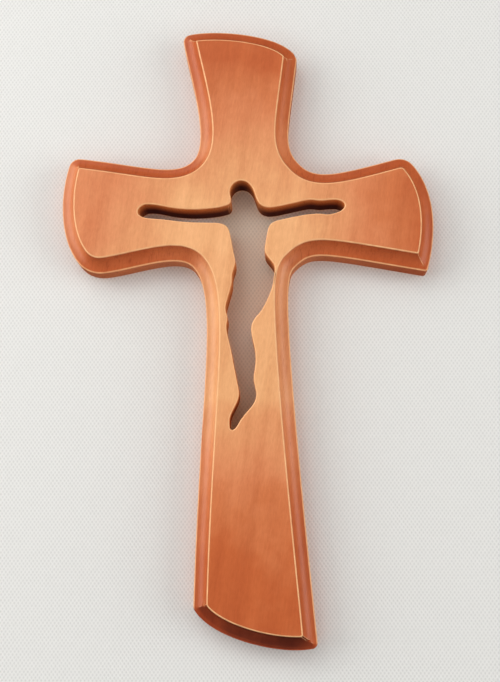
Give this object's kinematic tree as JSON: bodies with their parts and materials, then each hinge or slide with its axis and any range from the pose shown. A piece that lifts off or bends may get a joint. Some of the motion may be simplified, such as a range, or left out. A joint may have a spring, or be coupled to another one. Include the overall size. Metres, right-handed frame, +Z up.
{
  "type": "cut-out wall cross",
  "caption": "Flat wooden wall cross with four flared arms, a cove round its front edge, and a figure with outstretched arms cut right through the middle.",
  "frame": {"origin": "the hanging point: on the flat back face, on the upright's centre line, 62 mm above the crossing of the arms", "axes": "+Z up along the upright, the front faces -Y, +Y points out of the back towards the wall, +X to the right as seen from the front"},
  "size_m": [0.1802, 0.0172, 0.2993],
  "materials": {
    "stained_wood": "pale fine-grained wood under a sprayed amber to red-brown stain, satin lacquer, rubbed pale along the edges"
  },
  "bodies": {
    "root": {"cross": "stained_wood"}
  },
  "joints": []
}
